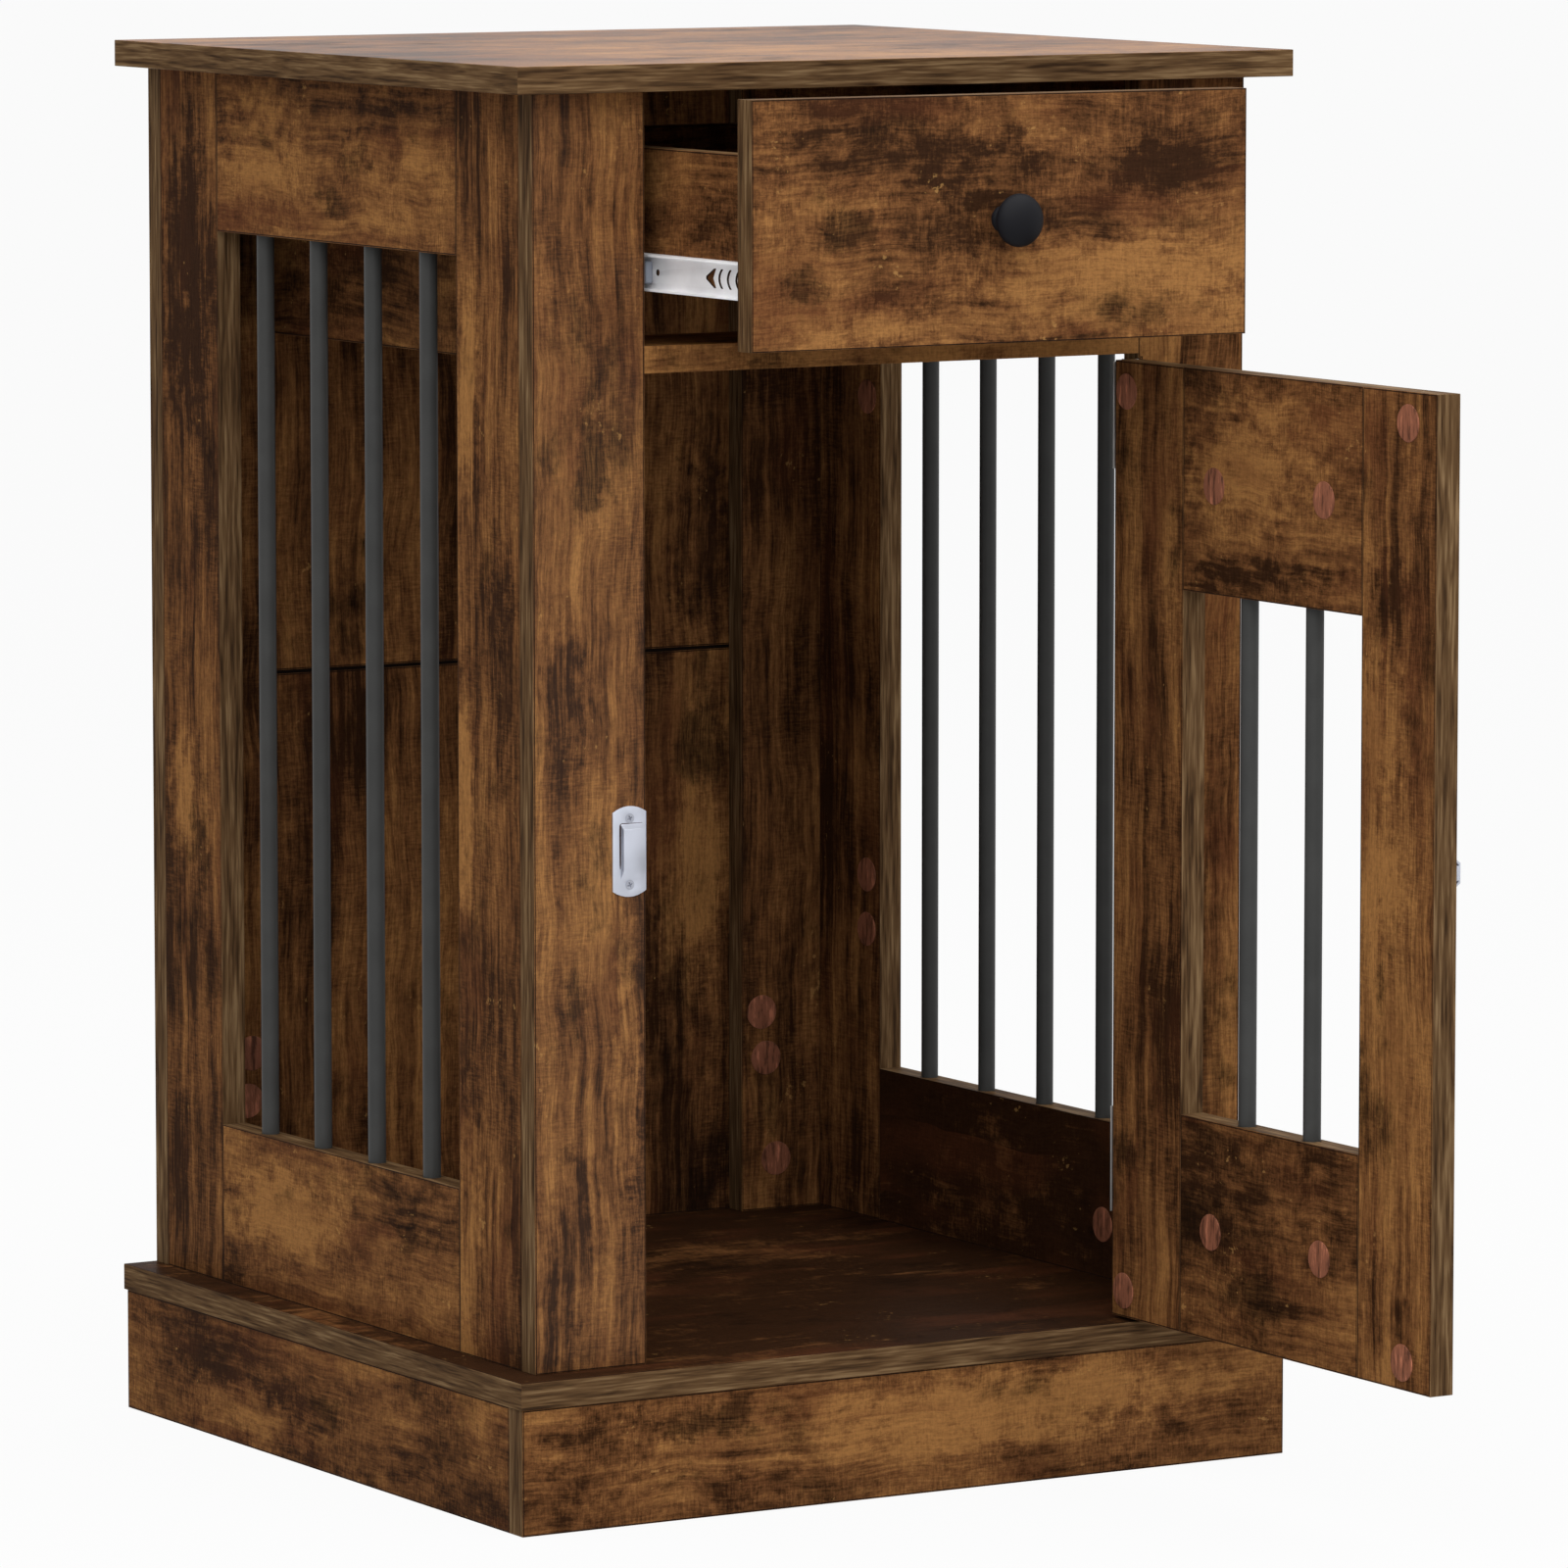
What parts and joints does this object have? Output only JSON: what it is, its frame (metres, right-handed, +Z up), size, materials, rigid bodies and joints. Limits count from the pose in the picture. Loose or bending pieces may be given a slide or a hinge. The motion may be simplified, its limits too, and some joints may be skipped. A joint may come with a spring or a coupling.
{
  "type": "dog crate end table",
  "caption": "Tall end table of wood-faced boards: a barred pet crate with a hinged, barred door and slide bolt, below a drawer on ball-bearing slides.",
  "frame": {"origin": "middle of the underside of the front plinth board, where the table meets the floor", "axes": "+Z up, +X to the right and +Y to the back, as seen by someone who faces the door"},
  "size_m": [0.5, 0.772, 0.8],
  "materials": {
    "board": "rustic brown wood-print facing on particle board, satin, with darker smudges and matching edge banding",
    "back_sheet": "thin fibreboard with the same print, satin",
    "bar": "black powder coat, satin",
    "knob": "black, matte",
    "slide_zinc": "white zinc plate",
    "cage_steel": "plain steel, oiled",
    "latch_steel": "satin nickel plate",
    "hinge_steel": "plated, satin",
    "joiner": "dark grey plastic",
    "cover_cap": "reddish brown wood-print cover cap",
    "stop_plastic": "grey moulded plastic"
  },
  "bodies": {
    "cabinet": {"top_board": "board", "base_board": "board", "plinth_front": "board", "plinth_left": "board", "plinth_right": "board", "plinth_back": "board", "front_post_left": "board", "front_post_right": "board", "back_post_left": "board", "back_post_right": "board", "left_front_stile": "board", "left_back_stile": "board", "left_top_rail": "board", "left_bottom_rail": "board", "left_bar_1": "bar", "left_bar_2": "bar", "left_bar_3": "bar", "left_bar_4": "bar", "right_front_stile": "board", "right_back_stile": "board", "right_top_rail": "board", "right_bottom_rail": "board", "right_bar_1": "bar", "right_bar_2": "bar", "right_bar_3": "bar", "right_bar_4": "bar", "drawer_rail": "board", "slide_panel_left": "board", "slide_panel_right": "board", "back_sheet_upper": "back_sheet", "back_sheet_lower": "back_sheet", "back_joiner": "joiner", "slide_channel_left": "slide_zinc", "slide_channel_right": "slide_zinc", "hinge_frame_leaf_upper": "hinge_steel", "hinge_frame_leaf_lower": "hinge_steel", "hinge_pin_upper": "hinge_steel", "hinge_pin_lower": "hinge_steel", "latch_keeper": "latch_steel"},
    "drawer": {"drawer_front": "board", "drawer_side_left": "board", "drawer_side_right": "board", "drawer_back": "board", "drawer_bottom": "back_sheet", "drawer_knob": "knob", "knob_screw": "slide_zinc", "slide_rail_left": "slide_zinc", "slide_rail_right": "slide_zinc"},
    "left_cage": {"ball_cage_left": "cage_steel"},
    "right_cage": {"ball_cage_right": "cage_steel"},
    "door": {"door_hinge_stile": "board", "door_latch_stile": "board", "door_top_rail": "board", "door_bottom_rail": "board", "door_bar_1": "bar", "door_bar_2": "bar", "hinge_door_leaf_upper": "hinge_steel", "hinge_door_leaf_lower": "hinge_steel", "latch_guide": "latch_steel"},
    "bolt": {"latch_bolt": "latch_steel"}
  },
  "joints": [
    {"name": "drawer_slide", "type": "slide", "parent": "cabinet", "child": "drawer", "axis": [0, -1, 0], "range_m": [-0.111, 0.139]},
    {"name": "left_cage_roll", "type": "slide", "parent": "cabinet", "child": "left_cage", "axis": [0, -1, 0], "range_m": [-0.0555, 0.0695]},
    {"name": "right_cage_roll", "type": "slide", "parent": "cabinet", "child": "right_cage", "axis": [0, -1, 0], "range_m": [-0.0555, 0.0695]},
    {"name": "door_hinge", "type": "hinge", "parent": "cabinet", "child": "door", "pos_m": [0.159, 0.0115, 0.3575], "axis": [0, 0, 1], "range_deg": [-90, 80]},
    {"name": "bolt_slide", "type": "slide", "parent": "door", "child": "bolt", "axis": [0, -1, 0], "range_m": [0, 0.018]}
  ],
  "couplings": [
    {"joint": "left_cage_roll", "follows": "drawer_slide", "ratio": 0.5},
    {"joint": "right_cage_roll", "follows": "drawer_slide", "ratio": 0.5}
  ]
}
